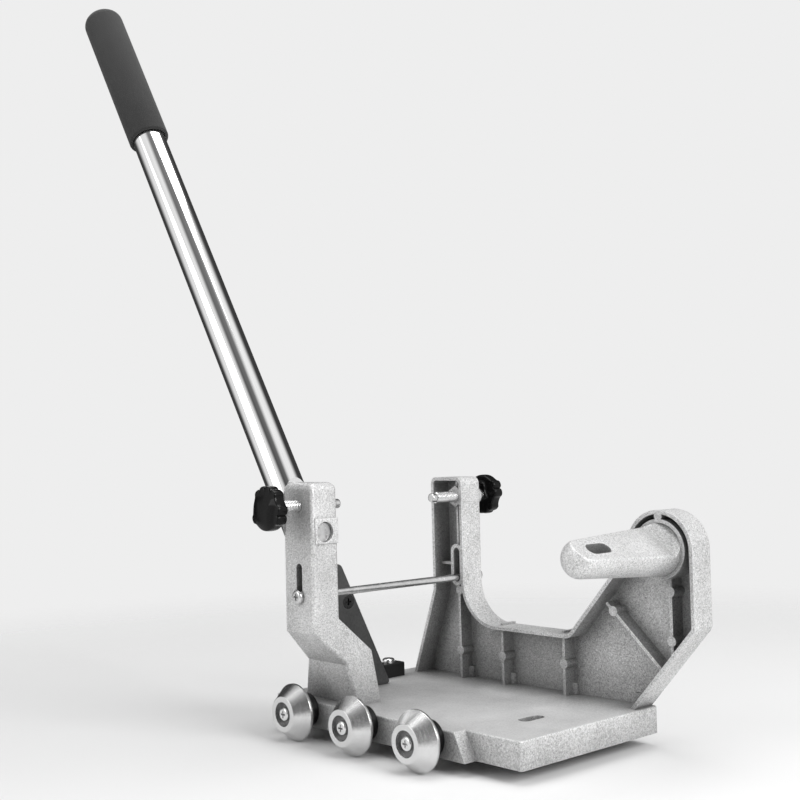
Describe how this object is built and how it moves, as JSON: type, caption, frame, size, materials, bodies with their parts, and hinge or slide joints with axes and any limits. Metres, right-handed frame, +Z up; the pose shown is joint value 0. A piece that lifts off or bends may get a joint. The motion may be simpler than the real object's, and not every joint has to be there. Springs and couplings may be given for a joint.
{
  "type": "tile saw carriage",
  "caption": "Rolling saw carriage of a tile cutter: plate on three edge wheels, post, ribbed side frame with turning arm, opposed clamp screws, depth rod and long handle.",
  "frame": {"origin": "underside of the base plate, below the centre of the plate", "axes": "+X the way the carriage rolls, +Y from the wheels to the side frame, +Z up"},
  "size_m": [0.4623, 0.209, 0.5551],
  "materials": {
    "hammer_paint": "silver hammer paint on cast aluminium, fine bright grain",
    "wheel_steel": "turned bright steel",
    "bearing_steel": "ground bearing steel",
    "dark_steel": "dark turned spacer",
    "zinc": "bright zinc plating",
    "black_plastic": "glossy black moulding",
    "mirror_steel": "mirror polished stainless tube",
    "black_foam": "matte closed-cell foam",
    "black_steel": "satin black coated steel"
  },
  "bodies": {
    "carriage": {"base_plate": "hammer_paint", "post_screws": "zinc", "frame_screws": "zinc", "left_post": "hammer_paint", "side_frame": "hammer_paint", "guard_plate": "black_steel", "guard_screws": "zinc", "guard_nut": "zinc", "stop_block": "black_steel", "stop_screw": "zinc", "handle_tube": "mirror_steel", "handle_elbow": "zinc", "handle_pin": "zinc", "handle_set_screw": "zinc", "handle_grip": "black_foam", "bearing_inner_race_1": "bearing_steel", "wheel_spacer_1": "dark_steel", "wheel_screw_1": "zinc", "bearing_inner_race_2": "bearing_steel", "wheel_spacer_2": "dark_steel", "wheel_screw_2": "zinc", "bearing_inner_race_3": "bearing_steel", "wheel_spacer_3": "dark_steel", "wheel_screw_3": "zinc"},
    "wheel_1_body": {"wheel_1": "wheel_steel", "bearing_outer_race_1": "bearing_steel", "bearing_balls_1": "bearing_steel"},
    "wheel_2_body": {"wheel_2": "wheel_steel", "bearing_outer_race_2": "bearing_steel", "bearing_balls_2": "bearing_steel"},
    "wheel_3_body": {"wheel_3": "wheel_steel", "bearing_outer_race_3": "bearing_steel", "bearing_balls_3": "bearing_steel"},
    "arm": {"saw_arm": "hammer_paint", "arm_washer": "zinc", "arm_screw": "zinc"},
    "left_tip": {"left_clamp_tip": "zinc"},
    "left_screw": {"left_clamp_screw": "zinc", "left_clamp_knob": "black_plastic"},
    "right_tip": {"right_clamp_tip": "zinc"},
    "right_screw": {"right_clamp_screw": "zinc", "right_clamp_knob": "black_plastic"},
    "rod": {"depth_rod": "zinc", "rod_screws": "zinc"}
  },
  "joints": [
    {"name": "wheel_1_spin", "type": "hinge", "parent": "carriage", "child": "wheel_1_body", "pos_m": [-0.0735, -0.088, 0.011], "axis": [0, 1, 0], "continuous": true},
    {"name": "wheel_2_spin", "type": "hinge", "parent": "carriage", "child": "wheel_2_body", "pos_m": [-0.0135, -0.088, 0.011], "axis": [0, 1, 0], "continuous": true},
    {"name": "wheel_3_spin", "type": "hinge", "parent": "carriage", "child": "wheel_3_body", "pos_m": [0.0465, -0.088, 0.011], "axis": [0, 1, 0], "continuous": true},
    {"name": "arm_turn", "type": "hinge", "parent": "carriage", "child": "arm", "pos_m": [0.129, 0.05, 0.1182], "axis": [0, 1, 0], "range_deg": [-60, 60]},
    {"name": "left_clamp_feed", "type": "slide", "parent": "carriage", "child": "left_tip", "axis": [0, 1, 0], "range_m": [-0.008, 0.005]},
    {"name": "left_clamp_turn", "type": "hinge", "parent": "left_tip", "child": "left_screw", "pos_m": [-0.049, -0.0645, 0.149], "axis": [0, 1, 0], "range_deg": [-2324, 1460]},
    {"name": "right_clamp_feed", "type": "slide", "parent": "carriage", "child": "right_tip", "axis": [0, -1, 0], "range_m": [-0.008, 0.005]},
    {"name": "right_clamp_turn", "type": "hinge", "parent": "right_tip", "child": "right_screw", "pos_m": [-0.049, 0.0205, 0.149], "axis": [0, -1, 0], "range_deg": [-2324, 1460]},
    {"name": "depth_slide", "type": "slide", "parent": "carriage", "child": "rod", "axis": [0, 0, 1], "range_m": [0, 0.018]}
  ],
  "couplings": [
    {"joint": "left_clamp_turn", "follows": "left_clamp_feed", "rad_per_m": 5026.5},
    {"joint": "right_clamp_turn", "follows": "right_clamp_feed", "rad_per_m": 5026.5}
  ]
}
